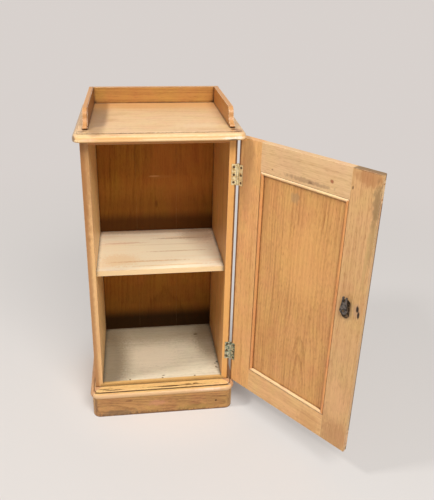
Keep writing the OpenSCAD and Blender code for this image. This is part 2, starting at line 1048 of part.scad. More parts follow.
screws_carcase(hinge_lower_z, brass_dull);  // hinge_lower_screws_carcase
screws_door(hinge_lower_z, brass_dull);  // hinge_lower_screws_door
catch_plate();
catch_screws();
catch_rose();
catch_rose_pins();
catch_spindle();
catch_collar();
catch_tongue();
catch_knob();
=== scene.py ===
import json
import math

import bmesh
import bpy
from mathutils import Matrix, Vector


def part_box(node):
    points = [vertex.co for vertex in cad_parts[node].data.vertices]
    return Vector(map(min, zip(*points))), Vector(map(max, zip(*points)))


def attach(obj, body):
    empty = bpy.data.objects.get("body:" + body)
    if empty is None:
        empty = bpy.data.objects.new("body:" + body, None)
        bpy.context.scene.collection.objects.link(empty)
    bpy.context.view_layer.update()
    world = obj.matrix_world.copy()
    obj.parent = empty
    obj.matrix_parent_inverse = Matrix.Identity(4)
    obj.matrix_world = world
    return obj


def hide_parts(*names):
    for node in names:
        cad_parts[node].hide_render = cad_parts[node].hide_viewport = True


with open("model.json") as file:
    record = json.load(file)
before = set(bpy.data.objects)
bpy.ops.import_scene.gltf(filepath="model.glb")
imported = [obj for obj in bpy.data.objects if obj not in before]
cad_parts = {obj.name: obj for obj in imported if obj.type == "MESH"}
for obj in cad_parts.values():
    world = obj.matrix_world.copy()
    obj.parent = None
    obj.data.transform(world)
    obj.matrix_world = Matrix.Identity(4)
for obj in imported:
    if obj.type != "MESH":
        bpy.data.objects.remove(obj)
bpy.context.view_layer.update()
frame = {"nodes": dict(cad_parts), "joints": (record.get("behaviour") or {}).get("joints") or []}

# ---------------------------------------------------------------- plinth
# Three mitred boards with rounded front corners, a plain rail behind, and sawn
# blocks glued inside. Softwood, brown with old wax, scuffed and darker low down.


def shade(red, green, blue):
    """A colour as it looks on screen, 0 to 255 each, as the linear values that a shader takes."""
    return tuple((v / 255) ** 2.2 for v in (red, green, blue)) + (1.0,)


class Bench:
    """Puts shader nodes into one tree. An input that is given another node's output is linked to it."""

    def __init__(self, tree):
        self.tree = tree

    def put(self, kind, inputs=None, **settings):
        made = self.tree.nodes.new("ShaderNode" + kind)
        for name, value in settings.items():
            setattr(made, name, value)
        for name, value in (inputs or {}).items():
            self.feed(made.inputs[name], value)
        return made.outputs

    def feed(self, socket, value):
        if isinstance(value, bpy.types.NodeSocket):
            self.tree.links.new(value, socket)
        else:
            socket.default_value = value

    def use(self, effect_tree, **inputs):
        """Places a shader node group. An input's name is given with _ for its spaces."""
        made = self.tree.nodes.new("ShaderNodeGroup")
        made.node_tree = effect_tree
        for name, value in inputs.items():
            self.feed(made.inputs[name.replace("_", " ")], value)
        return made.outputs

    def maths(self, operation, first, second=0.0, clamp=False):
        return self.put("Math", {0: first, 1: second}, operation=operation, use_clamp=clamp)["Value"]

    def add(self, *values):
        total = values[0]
        for value in values[1:]:
            total = self.maths("ADD", total, value)
        return total

    def times(self, first, second):
        return self.maths("MULTIPLY", first, second)

    def spread(self, value, reach):
        """A noise's 0 to 1, turned to go as far below zero as above it."""
        return self.times(self.maths("SUBTRACT", value, 0.5), reach)

    def vector(self, operation, first, second=(0.0, 0.0, 0.0)):
        made = self.put("VectorMath", {0: first, 1: second}, operation=operation)
        return made["Value"] if operation in ("LENGTH", "DOT_PRODUCT") else made["Vector"]

    def noise(self, place, fineness, detail=2.0, roughness=0.55):
        """Noise from 0 to 1 whose features are about 1/fineness metres across, given for each axis."""
        at = self.vector("MULTIPLY", place, fineness)
        made = self.put("TexNoise", {"Vector": at, "Scale": 1.0, "Detail": detail, "Roughness": roughness})
        return made["Fac"]

    def step(self, value, low, high):
        """0 below low, 1 above high, smooth between."""
        made = self.put("MapRange", {"Value": value, "From Min": low, "From Max": high},
                        interpolation_type="SMOOTHSTEP")
        return made["Result"]

    def mix(self, amount, ground, cover):
        """A colour that goes from ground to cover as amount goes from 0 to 1."""
        made = self.tree.nodes.new("ShaderNodeMix")
        made.data_type = "RGBA"
        colour_in = [s for s in made.inputs if s.type == "RGBA"]
        self.feed(made.inputs["Factor"], amount)
        self.feed(colour_in[0], ground)
        self.feed(colour_in[1], cover)
        return next(s for s in made.outputs if s.type == "RGBA")


def effect(name, inputs, outputs):
    """An empty shader node group with named sockets, and the bench, inputs and output node to fill it."""
    tree = bpy.data.node_groups.new(name, "ShaderNodeTree")
    kinds = {"value": "NodeSocketFloat", "vector": "NodeSocketVector", "colour": "NodeSocketColor"}
    for label, kind in inputs:
        tree.interface.new_socket(label, in_out="INPUT", socket_type=kinds[kind])
    for label, kind in outputs:
        tree.interface.new_socket(label, in_out="OUTPUT", socket_type=kinds[kind])
    start = tree.nodes.new("NodeGroupInput")
    end = tree.nodes.new("NodeGroupOutput")
    return tree, Bench(tree), start.outputs, end


def make_grain():
    """Sawn wood: growth rings round a heart that runs along Z, fibres, streaks and pores. In metres."""
    tree, bench, given, end = effect(
        "wood_grain",
        [("Place", "vector"), ("Seed", "value"), ("Heart Aside", "value"), ("Heart Depth", "value"),
         ("Heart Lean", "value"), ("Straight Above", "value"), ("Wander", "value"), ("Ring Gap", "value"),
         ("Ring Contrast", "value"), ("Early Wood", "colour"), ("Late Wood", "colour"), ("Pore", "value")],
        [("Color", "colour"), ("Height", "value")])
    seed = bench.put("CombineXYZ", {axis: bench.times(given["Seed"], far)
                                    for axis, far in (("X", 7.31), ("Y", 3.17), ("Z", 1.73))})["Vector"]
    place = bench.vector("ADD", given["Place"], seed)
    apart = bench.put("SeparateXYZ", {"Vector": given["Place"]})
    x, y, z = (apart[axis] for axis in "XYZ")
    wander = bench.spread(bench.noise(place, (7.0, 7.0, 2.6), 2.0), given["Wander"])
    sway = bench.spread(bench.noise(place, (2.0, 2.0, 3.0), 1.0), given["Wander"])
    aside = bench.add(bench.maths("SUBTRACT", x, given["Heart Aside"]), sway)
    leaning = bench.maths("MINIMUM", z, given["Straight Above"])
    depth = bench.add(y, given["Heart Depth"], bench.times(leaning, given["Heart Lean"]))
    radius = bench.maths("SQRT", bench.add(bench.times(aside, aside), bench.times(depth, depth)))
    ripple = bench.spread(bench.noise(place, (260.0, 260.0, 14.0), 2.0), 0.0026)
    count = bench.maths("DIVIDE", bench.add(radius, wander, ripple), given["Ring Gap"])
    phase = bench.maths("FRACT", count)
    darkening = bench.maths("POWER", phase, 1.8)
    sharp_end = bench.maths("SUBTRACT", 1.0, bench.step(phase, 0.86, 1.0))
    each = bench.put("TexWhiteNoise", {"W": bench.maths("FLOOR", count)}, noise_dimensions="1D")["Value"]
    ring = bench.times(bench.times(darkening, sharp_end), bench.add(0.25, bench.times(each, 0.9)))
    ring = bench.times(ring, given["Ring Contrast"])
    fibre = bench.noise(place, (900.0, 900.0, 16.0), 3.0, 0.6)
    streak = bench.noise(place, (150.0, 150.0, 4.0), 4.0, 0.65)
    fleck = bench.noise(place, (300.0, 300.0, 80.0), 2.0)
    pore = bench.step(bench.noise(place, (1100.0, 1100.0, 70.0), 1.0), 0.58, 0.70)
    streaks = bench.times(bench.maths("SUBTRACT", streak, 0.45), 1.4)
    dark = bench.add(ring, streaks, bench.spread(fibre, 0.8), bench.spread(fleck, 0.6))
    dark = bench.maths("ADD", dark, bench.times(pore, given["Pore"]), clamp=True)
    bench.feed(end.inputs["Color"], bench.mix(dark, given["Early Wood"], given["Late Wood"]))
    relief = bench.add(bench.times(fibre, 0.6), bench.times(ring, -0.35), bench.times(pore, -0.5))
    bench.feed(end.inputs["Height"], relief)
    return tree


def make_rubbed_and_highlit():
    """Edges and corners that rubbing has made pale, painted paler still as a highlight: 1 on an arris, 0 on
    the flat, broken up along its length.
    """
    tree, bench, given, end = effect(
        "rubbed_and_highlit_edge", [("Place", "vector"), ("Width", "value")], [("Mask", "value")])
    soft = bench.put("Bevel", {"Radius": given["Width"]}, samples=4)["Normal"]
    true = bench.put("NewGeometry")["Normal"]
    turned = bench.maths("SUBTRACT", 1.0, bench.vector("DOT_PRODUCT", soft, true))
    patchy = bench.step(bench.noise(given["Place"], (45.0, 45.0, 45.0), 3.0), 0.34, 0.66)
    broken_up = bench.add(0.35, bench.times(patchy, 0.65))
    bench.feed(end.inputs["Mask"], bench.times(bench.step(turned, 0.01, 0.16), broken_up))
    return tree


def make_shade_and_grime():
    """Old wax and dust in corners and joints, with painted shade there too: 1 in the corner itself, 0 beyond
    Reach from it.
    """
    tree, bench, given, end = effect(
        "settled_grime_and_shade", [("Place", "vector"), ("Reach", "value")], [("Mask", "value")])
    open_air = bench.put("AmbientOcclusion", {"Distance": given["Reach"]}, samples=8)["AO"]
    shut_in = bench.maths("SUBTRACT", 1.0, open_air)
    patchy = bench.noise(given["Place"], (60.0, 60.0, 60.0), 3.0)
    bench.feed(end.inputs["Mask"], bench.step(bench.add(shut_in, bench.spread(patchy, 0.25)), 0.12, 0.62))
    return tree


def make_mark():
    """A stain, dent or scorch with a ragged rim: 1 inside an oval at Centre with half sizes Size."""
    tree, bench, given, end = effect(
        "ragged_mark", [("Place", "vector"), ("Centre", "vector"), ("Size", "vector"), ("Ragged", "value")],
        [("Mask", "value")])
    near = bench.vector("DIVIDE", bench.vector("SUBTRACT", given["Place"], given["Centre"]), given["Size"])
    rim = bench.spread(bench.noise(given["Place"], (170.0, 170.0, 80.0), 3.0), given["Ragged"])
    far = bench.add(bench.vector("LENGTH", near), rim)
    bench.feed(end.inputs["Mask"], bench.maths("SUBTRACT", 1.0, bench.step(far, 0.45, 1.05)))
    return tree


grain, rubbed_and_highlit, shade_and_grime, mark = make_grain(), make_rubbed_and_highlit(), make_shade_and_grime(), make_mark()

hinge = next(j for j in frame["joints"] if j["name"] == "door_hinge")
door_axis = Vector(hinge["pos_m"])
door_open = -math.radians(hinge["range_deg"][0])
# The colour of old wax and of painted shade in corners and joints.
wax_and_shade_tint = (66, 36, 16)


def new_material(name):
    """A material, with its bench and its surface shader."""
    material = bpy.data.materials.new(name)
    material.use_nodes = True
    return material, Bench(material.node_tree), material.node_tree.nodes["Principled BSDF"]


def give_relief(bench, surface, height, strength, depth, arris):
    """Bumps a surface by height, over edges that are rounded in shading by the radius arris."""
    rounded = bench.put("Bevel", {"Radius": arris}, samples=4)["Normal"]
    bump = bench.put("Bump", {"Height": height, "Strength": strength, "Distance": depth, "Normal": rounded})
    bench.feed(surface.inputs["Normal"], bump["Normal"])


def waxed_wood(name, axes, early, late, seed, gap=0.0055, heart=(0.0, 0.05, 0.12), straight_above=9.0,
               wander=0.026, contrast=0.5, pore=0.4, rub_and_highlight=0.0014, rub_and_highlight_tint=(244, 206, 154), rub_and_highlight_amount=0.75,
               grime_and_shade_strength=0.75, grime_and_shade_reach=0.007, grime_and_shade_tint=wax_and_shade_tint, rough=0.42, shine=0.4, relief=0.35,
               edge_tint=(0, 0, 0), edge_amount=0.0, in_door=False, marks=()):
    """Wood with its grain along the last of the three axes. The second axis is the board's thickness.

    early and late are the two colours of its rings, which lie gap apart. heart is the tree's heart: how
    far aside, how deep below, and how it leans along the board, up to straight_above. The arguments for
    rubbing give the width, colour and strength of the pale edges, which are partly wear and partly a
    painted highlight. Those for wax in corners give its strength, reach and colour; it is partly old wax
    and partly painted shade in corners and joints. rough is the wax's roughness, and edge_tint the colour
    of the board's narrow faces. Each mark is (centre, half sizes, raggedness, colour, strength), in
    metres, for a door piece as the door stands shut. A mark covers those before it.
    """
    material, bench, surface = new_material(name)
    surface.inputs["Specular IOR Level"].default_value = shine
    place = bench.put("TexCoord")["Object"]
    if in_door:
        place = bench.put("VectorRotate", {"Vector": place, "Center": tuple(door_axis), "Angle": -door_open},
                          rotation_type="Z_AXIS")["Vector"]
    apart = bench.put("SeparateXYZ", {"Vector": place})
    board = bench.put("CombineXYZ", {to: apart[own.upper()] for to, own in zip("XYZ", axes)})["Vector"]
    aside, depth, lean = heart
    wood = bench.use(grain, Place=board, Seed=seed, Heart_Aside=aside, Heart_Depth=depth, Heart_Lean=lean,
                     Straight_Above=straight_above, Wander=wander, Ring_Gap=gap, Ring_Contrast=contrast,
                     Early_Wood=shade(*early), Late_Wood=shade(*late), Pore=pore)
    cloud = bench.noise(place, (9.0, 9.0, 9.0), 4.0)
    blotch = bench.times(bench.step(cloud, 0.40, 0.70), 0.45)
    colour = bench.mix(blotch, wood["Color"], bench.mix(0.5, wood["Color"], shade(*late)))
    mottle = bench.noise(bench.vector("ADD", place, (3.1, 1.7, 5.3)), (26.0, 26.0, 16.0), 3.0)
    hue = bench.add(0.5, bench.spread(mottle, 0.035))
    brightness = bench.add(1.0, bench.spread(cloud, 0.35))
    colour = bench.put("HueSaturation", {"Hue": hue, "Value": brightness, "Color": colour})["Color"]
    if edge_amount:
        facing_out = bench.put("SeparateXYZ", {"Vector": bench.put("TexCoord")["Normal"]})[axes[1].upper()]
        narrow = bench.maths("SUBTRACT", 1.0, bench.step(bench.maths("ABSOLUTE", facing_out), 0.4, 0.7))
        colour = bench.mix(bench.times(narrow, edge_amount), colour, shade(*edge_tint))
    for centre, size, ragged, tint, strength in marks:
        spot = bench.use(mark, Place=place, Centre=centre, Size=size, Ragged=ragged)
        colour = bench.mix(bench.times(spot["Mask"], strength), colour, shade(*tint))
    # Pale arrises, partly wear and partly a painted highlight.
    worn_and_highlit = bench.use(rubbed_and_highlit, Place=place, Width=rub_and_highlight)
    colour = bench.mix(bench.times(worn_and_highlit["Mask"], rub_and_highlight_amount), colour, shade(*rub_and_highlight_tint))
    # Old wax and painted shade in corners and joints.
    settled_and_shaded = bench.use(shade_and_grime, Place=place, Reach=grime_and_shade_reach)
    colour = bench.mix(bench.times(settled_and_shaded["Mask"], grime_and_shade_strength), colour, shade(*grime_and_shade_tint))
    bench.feed(surface.inputs["Base Color"], colour)
    bench.feed(surface.inputs["Roughness"], bench.add(rough - 0.1, bench.times(cloud, 0.22)))
    give_relief(bench, surface, wood["Height"], relief, depth=0.0006, arris=0.0011)
    return material


def finish_nodes(material, *names):
    """Gives CAD nodes this material in every slot."""
    for name in names:
        slots = frame["nodes"][name].data.materials
        if not slots:
            slots.append(material)
        for i in range(len(slots)):
            slots[i] = material


def on_front(face_y, deep, rows):
    """Marks on an upright face, from rows of x, height, half width, half height, and then as above."""
    return [((x, face_y, z), (wide, deep, tall), ragged, tint, strength)
            for x, z, wide, tall, ragged, tint, strength in rows]


plinth_early, plinth_late = (199, 147, 88), (116, 75, 38)
plinth_look = dict(gap=0.004, heart=(0.02, 0.06, 0.05), contrast=0.6, rub_and_highlight=0.0018, rub_and_highlight_tint=(222, 172, 116),
                   rub_and_highlight_amount=0.5)
plinth_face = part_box("plinth_front")[0].y
corner_y = plinth_face + 0.01
# A knot, a scratch, grey, pink and yellow scuffs, then the darker corners and foot.
plinth_marks = on_front(plinth_face, deep=0.01, rows=[
    (0.140, 0.028, 0.0035, 0.0035, 0.6, (70, 38, 20), 0.9),
    (-0.09, 0.046, 0.012, 0.003, 1.2, (100, 58, 30), 0.6),
    (-0.115, 0.008, 0.060, 0.014, 1.4, (118, 96, 70), 0.6),
    (-0.020, 0.034, 0.030, 0.012, 1.4, (206, 140, 108), 0.5),
    (0.090, 0.012, 0.060, 0.010, 1.4, (150, 122, 60), 0.5)])
plinth_marks += [
    ((-0.182, corner_y, 0.030), (0.014, 0.03, 0.05), 0.5, (104, 72, 46), 0.7),
    ((0.184, corner_y, 0.030), (0.012, 0.03, 0.05), 0.5, (112, 74, 42), 0.6),
    ((0.0, plinth_face, -0.004), (0.25, 0.02, 0.014), 1.4, (88, 56, 36), 0.65)]
plinth_front_wood = waxed_wood("plinth_front_wood", "zyx", plinth_early, plinth_late, 3.0,
                               marks=plinth_marks, **plinth_look)
plinth_side_wood = waxed_wood("plinth_side_wood", "zxy", plinth_early, plinth_late, 5.0, **plinth_look)
finish_nodes(plinth_front_wood, "plinth_front", "plinth_back")
finish_nodes(plinth_side_wood, "plinth_left", "plinth_right")
sawn_wood = waxed_wood("sawn_wood", "xyz", (226, 192, 140), (178, 130, 80), 8.0, gap=0.003, rub_and_highlight_amount=0.2,
                       grime_and_shade_strength=0.4, rough=0.7, relief=0.7)
finish_nodes(sawn_wood, "plinth_blocks")

# ---------------------------------------------------------------- base moulding
# A ledge over a round bead with a quirk between, planed along a softwood strip
# and mitred at the corners. Golden on the ledge, with dark splits, and pinkish
# and rubbed on the bead.


def on_level(face_z, deep, rows):
    """Marks on a level face, from rows of x, y, half width, half depth, and then as above."""
    return [((x, y, face_z), (wide, long, deep), ragged, tint, strength)
            for x, y, wide, long, ragged, tint, strength in rows]


all_along = 2.0     # half size of a mark that runs past both ends of its board
quirk_y = -0.0204
bead_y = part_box("base_moulding_front")[0].y + 0.004
ledge_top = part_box("base_moulding_front")[1].z
splits = (
    (0.017, -0.0155, 0.036, 0.0036), (0.066, -0.0130, 0.011, 0.0034), (0.085, -0.0118, 0.009, 0.0030),
    (0.040, -0.0145, 0.120, 0.0017), (-0.130, -0.0165, 0.034, 0.0024), (-0.150, -0.0120, 0.024, 0.0020))
moulding_marks = on_level(ledge_top, deep=0.0015, rows=[
    (*split, 1.2, (84, 46, 18), 0.9) for split in splits])
# The bead, its rubbed stretch, a pale chip at the right corner, and painted shade in the quirk.
moulding_marks += [
    ((0.0, bead_y, ledge_top - 0.010), (all_along, 0.008, 0.007), 0.1, (204, 162, 124), 0.75),
    ((0.120, bead_y, ledge_top - 0.008), (0.050, 0.006, 0.004), 0.8, (240, 206, 180), 0.6),
    ((0.176, -0.018, ledge_top - 0.003), (0.006, 0.006, 0.006), 0.9, (252, 232, 204), 0.8),
    ((0.0, quirk_y, ledge_top - 0.0035), (all_along, 0.0022, 0.0016), 0.3, (92, 54, 26), 0.8)]
moulding_look = dict(gap=0.0035, heart=(0.0, 0.05, 0.03), rub_and_highlight=0.0018, rub_and_highlight_tint=(252, 222, 176),
                     rub_and_highlight_amount=0.7, grime_and_shade_strength=0.8, grime_and_shade_reach=0.004)
moulding_front = waxed_wood("moulding_front_wood", "zyx", (236, 196, 130), (190, 138, 78), 11.0,
                            marks=moulding_marks, **moulding_look)
moulding_side = waxed_wood("moulding_side_wood", "zxy", (206, 156, 112), (150, 104, 70), 12.0,
                           **moulding_look)
finish_nodes(moulding_front, "base_moulding_front")
finish_nodes(moulding_side, "base_moulding_left", "base_moulding_right")

# ---------------------------------------------------------------- bottom board
# One bare board, nailed down. It has gone grey and dusty, except for a strip
# along its front edge, where the shut door kept it clean and honey coloured.

floor_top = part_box("bottom_board")[1].z
lip_w = 0.009
# Dust and stains, then spots and dents, then the shaded left and back and the clean strip in front.
bottom_marks = on_level(floor_top, deep=0.02, rows=[
    (-0.02, 0.10, 0.09, 0.06, 1.2, (236, 220, 192), 0.6),
    (0.108, 0.193, 0.008, 0.006, 1.0, (74, 60, 44), 0.8),
    (0.14, 0.17, 0.05, 0.10, 0.6, (120, 100, 74), 0.5)])
bottom_marks += on_level(floor_top, deep=0.01, rows=[
    (0.1535, 0.060, 0.0040, 0.0040, 0.6, (70, 58, 44), 0.8),
    (0.1475, 0.054, 0.0030, 0.0030, 0.6, (84, 70, 54), 0.7),
    (0.1520, 0.036, 0.0070, 0.0016, 0.6, (60, 48, 36), 0.8),
    (0.0028, 0.0174, 0.0050, 0.0022, 0.5, (74, 56, 38), 0.85)])
bottom_marks += on_level(floor_top, deep=0.02, rows=[
    (-0.160, 0.09, 0.090, 0.22, 0.3, (116, 102, 80), 0.75),
    (0.0, 0.245, 0.9, 0.110, 0.3, (122, 102, 74), 0.55),
    (0.0, 0.0, 0.6, lip_w, 0.05, (211, 167, 103), 1.0)])
bottom_wood = waxed_wood(
    "bottom_board_wood", "yzx", (228, 216, 188), (186, 172, 142), 14.0, gap=0.006, heart=(0.0, 0.08, 0.02),
    contrast=0.3, rub_and_highlight_amount=0.3, grime_and_shade_strength=0.8, grime_and_shade_reach=0.016, grime_and_shade_tint=(72, 58, 42), rough=0.7, shine=0.2,
    marks=bottom_marks)
finish_nodes(bottom_wood, "bottom_board")

# ---------------------------------------------------------------- sides
# Two wide boards with upright grain, waxed outside and in. The front edges are
# rubbed by hands and by the door.

side_look = dict(gap=0.007, heart=(0.11, 0.05, 0.03), contrast=0.45, grime_and_shade_reach=0.010, shine=0.3)
carcase_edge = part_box("side_right")[1].x
edge_middle = (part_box("side_right")[0].x + carcase_edge) / 2
half_way_up = 0.4
# On the left the outer face, set back from the lit copy's pale colour to plain wood, the front edge darkened
# as painted shade under the top, a dark outer arris, and more painted shade on the edge high up. On the
# right painted light on the front edge, and the outer arris darkened as painted shade beside the door.
left_marks = [
    ((-carcase_edge, 0.12, half_way_up), (0.006, all_along, all_along), 0.0, (218, 164, 104), 0.60),
    ((-edge_middle, 0.0, half_way_up), (0.5, 0.003, all_along), 0.0, (206, 144, 90), 0.5),
    ((-carcase_edge, 0.0, half_way_up), (0.0130, 0.008, all_along), 0.5, (158, 108, 68), 0.7),
    ((-carcase_edge, 0.0, 0.751), (0.040, 0.004, 0.300), 0.9, (150, 100, 56), 0.6)]
right_marks = [
    ((edge_middle, 0.0, half_way_up), (0.5, 0.003, all_along), 0.0, (244, 180, 104), 0.5),
    ((carcase_edge, 0.0, half_way_up), (0.0052, 0.006, all_along), 0.5, (92, 50, 20), 0.9)]
# The left side is a paler copy of the wood, painted light on its lit inner face, and the right a darker
# copy, painted shade on its shaded inner face.
side_left_lit_wood = waxed_wood("side_left_lit_wood", "yxz", (250, 212, 150), (198, 152, 96), 21.0,
                            marks=left_marks, **side_look)
side_right_shaded_wood = waxed_wood("side_right_shaded_wood", "yxz", (214, 158, 94), (156, 100, 50), 26.0,
                             marks=right_marks, **side_look)
finish_nodes(side_left_lit_wood, "side_left")
finish_nodes(side_right_shaded_wood, "side_right")

# ---------------------------------------------------------------- top rail
# A flat strip of the same waxed wood, housed between the sides right under the
# top, above the door.

front_rail_wood = waxed_wood("front_rail_wood", "zyx", (200, 138, 78), (146, 90, 42), 22.0, gap=0.004,
                             heart=(0.0, 0.05, 0.02))
finish_nodes(front_rail_wood, "top_rail")

# ---------------------------------------------------------------- shelf
# One thin board, slid into grooves in the sides. Its face is the palest wood of the cupboard, with darker
# streaks, and a painted pool of light over its middle.

shelf_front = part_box("shelf")[0].y
shelf_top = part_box("shelf")[1].z
# Streaks and worn patches, a painted pool of light over the middle, the shaded back, and the front edge.
shelf_marks = on_level(shelf_top, deep=0.01, rows=[
    (0.02, 0.15, 0.13, 0.003, 1.2, (188, 150, 104), 0.6),
    (0.11, 0.20, 0.06, 0.05, 1.0, (184, 154, 122), 0.5),
    # A painted pool of light over the middle.
    (-0.02, 0.10, 0.20, 0.13, 0.6, (255, 242, 204), 0.65),
    (-0.10, 0.07, 0.06, 0.04, 1.4, (240, 196, 138), 0.4),
    (-0.03, 0.06, 0.13, 0.004, 1.4, (222, 172, 112), 0.6),
    (0.06, 0.185, 0.09, 0.005, 1.4, (186, 146, 104), 0.6),
    (-0.09, 0.165, 0.07, 0.006, 1.4, (226, 182, 140), 0.6),
    (0.03, 0.035, 0.14, 0.003, 1.4, (232, 186, 124), 0.6),
    (0.05, 0.11, 0.10, 0.003, 1.4, (208, 164, 110), 0.6),
    (0.0, 0.245, 0.6, 0.030, 0.4, (150, 104, 60), 0.55)])
shelf_marks += [((0.0, shelf_front, shelf_top), (all_along, 0.0018, 0.03), 0.0, (236, 202, 152), 1.0)]
shelf_wood = waxed_wood(
    "shelf_wood", "yzx", (255, 243, 216), (246, 212, 170), 24.0, gap=0.008, heart=(0.12, 0.05, 0.02),
    rub_and_highlight_tint=(246, 220, 172), grime_and_shade_reach=0.012, rough=0.5, marks=shelf_marks)
finish_nodes(shelf_wood, "shelf")

# ---------------------------------------------------------------- back boards
# Three thin upright boards, tongued together and nailed on. The inside is dark
# with age, with a rubbed smear above the shelf.

back_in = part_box("back_board_middle")[0].y
# The smear and its bright middle, a stain, a redder patch, and the shade at the shelf and the bottom.
back_marks = on_front(back_in, deep=0.009, rows=[
    (0.012, 0.570, 0.040, 0.006, 0.7, (176, 122, 62), 0.50),
    (-0.004, 0.572, 0.018, 0.003, 0.6, (222, 168, 108), 0.65),
    (0.0, 0.490, 0.005, 0.014, 0.9, (76, 44, 12), 0.6),
    (0.070, 0.600, 0.110, 0.200, 0.8, (190, 110, 54), 0.36),
    (0.0, shelf_top, all_along, 0.150, 0.0, (88, 50, 12), 0.6),
    (0.0, shelf_top, all_along, 0.062, 0.0, (62, 33, 9), 0.8),
    (0.0, floor_top, all_along, 0.170, 0.0, (80, 46, 10), 0.55),
    (0.0, floor_top, all_along, 0.078, 0.0, (32, 20, 6), 0.92)])
back_wood = waxed_wood(
    "back_wood", "xyz", (174, 114, 46), (122, 73, 25), 31.0, gap=0.006, heart=(0.03, 0.05, 0.04),
    rub_and_highlight_amount=0.1, rough=0.7, shine=0.12, marks=back_marks)
finish_nodes(back_wood, "back_board_left", "back_board_middle", "back_board_right")

# ---------------------------------------------------------------- nails
# Cut iron nails, punched just level with the wood, rusted dark brown. Those in
# the bottom board are grey with dust.


def old_iron(name, dark, rust, rust_at=0.5, metal=0.55, rough=0.6):
    """Iron gone dark, with rust in patches and a pitted skin."""
    material, bench, surface = new_material(name)
    place = bench.put("TexCoord")["Object"]
    patches = bench.step(bench.noise(place, (160.0, 160.0, 160.0), 4.0), rust_at - 0.1, rust_at + 0.12)
    pits = bench.noise(place, (900.0, 900.0, 900.0), 3.0)
    bench.feed(surface.inputs["Base Color"], bench.mix(patches, shade(*dark), shade(*rust)))
    bench.feed(surface.inputs["Metallic"], bench.times(bench.maths("SUBTRACT", 1.0, patches), metal))
    bench.feed(surface.inputs["Roughness"], bench.add(rough - 0.15, bench.times(pits, 0.35)))
    give_relief(bench, surface, pits, 0.7, depth=0.0005, arris=0.0008)
    return material


nail_iron = old_iron("nail_iron", (58, 44, 36), (96, 58, 34))
finish_nodes(nail_iron, "back_nails", "gallery_nails")
dusty_iron = old_iron("dusty_iron", (132, 116, 92), (150, 128, 98), 0.44, metal=0.2, rough=0.8)
finish_nodes(dusty_iron, "bottom_nails")

# ---------------------------------------------------------------- top board
# One board with a thumb moulding planed round its front and sides, and sawn blocks glued below. Pale in the
# middle, where it is worn, with a rubbed edge and a painted highlight along its nose.

top_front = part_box("top_board")[0].y
top_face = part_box("top_board")[1].z
nose_y = top_front + 0.004
# The moulding's ground, then on the face a worn patch, the painted shadow beside the left gallery side, the
# shaded back, and streaks, then painted shade in the step along the front edge, and the roughened corners.
top_marks = [((0.0, top_front, top_face - 0.012), (all_along, 0.010, 0.009), 0.6, (238, 186, 112), 0.35)]
top_marks += on_level(top_face, deep=0.01, rows=[
    (0.09, 0.02, 0.07, 0.02, 1.2, (222, 190, 148), 0.5),
    (-0.138, 0.13, 0.028, 0.30, 0.2, (140, 102, 68), 0.6),
    (0.0, 0.26, 0.5, 0.10, 0.5, (206, 146, 84), 0.6),
    (0.04, 0.155, 0.10, 0.0030, 1.2, (166, 116, 70), 0.6),
    (0.090, 0.105, 0.05, 0.0026, 1.2, (170, 120, 76), 0.6)])
top_marks += on_level(top_face - 0.001, deep=0.003, rows=[
    (-0.06, -0.0335, 0.130, 0.0018, 0.8, (146, 96, 46), 0.85),
    (0.10, -0.0335, 0.080, 0.0014, 0.8, (170, 122, 70), 0.6)])
top_marks += on_level(top_face, deep=0.006, rows=[(0.166, -0.024, 0.020, 0.018, 1.4, (176, 118, 70), 0.65)])
top_marks += on_level(top_face, deep=0.004, rows=[
    (0.163, -0.018, 0.012, 0.006, 1.6, (92, 56, 30), 0.8),
    (0.168, -0.030, 0.009, 0.004, 1.6, (110, 66, 36), 0.7),
    (-0.165, -0.016, 0.014, 0.004, 1.6, (96, 60, 34), 0.8),
    (-0.168, -0.028, 0.010, 0.003, 1.6, (120, 76, 48), 0.7)])
# A painted highlight along the moulding's nose, brightest in two stretches near the right corner.
top_marks += on_front(nose_y, deep=0.012, rows=[
    (0.0, top_face - 0.0135, all_along, 0.0034, 0.6, (255, 226, 178), 0.60),
    (0.148, top_face - 0.013, 0.024, 0.0040, 1.4, (255, 240, 222), 0.6),
    (0.169, top_face - 0.012, 0.010, 0.0045, 1.6, (255, 238, 224), 0.6)])
# Painted shade under the nose near the right corner, the worn left corner, a painted highlight on the nose
# beside it, the left end, and a golden stretch.
top_marks += [
    ((0.158, nose_y, top_face - 0.017), (0.014, 0.010, 0.003), 0.8, (60, 34, 16), 0.8),
    ((-0.184, nose_y + 0.004, top_face - 0.010), (0.006, 0.010, 0.008), 1.3, (88, 60, 42), 0.75),
    ((-0.150, nose_y, top_face - 0.012), (0.026, 0.012, 0.0045), 1.0, (250, 216, 190), 0.5),
    ((-0.188, 0.12, top_face - 0.008), (0.010, 0.30, 0.016), 0.4, (160, 134, 110), 0.7),
    ((-0.10, top_front, top_face - 0.012), (0.090, 0.010, 0.008), 1.0, (222, 154, 82), 0.5)]
top_wood = waxed_wood(
    "top_wood", "yzx", (222, 184, 136), (172, 126, 78), 41.0, gap=0.009, heart=(0.10, 0.05, 0.015),
    rub_and_highlight=0.0020, rub_and_highlight_tint=(255, 236, 200), grime_and_shade_strength=0.85, grime_and_shade_reach=0.006, rough=0.36, marks=top_marks)
finish_nodes(top_wood, "top_board")
finish_nodes(sawn_wood, "top_blocks")

# ---------------------------------------------------------------- gallery
# Three thin boards standing on the top, nailed from below. The sides end in a
# sawn curve. The narrow edges are pale, the faces more orange, and the inner
# face of the left one is dark.

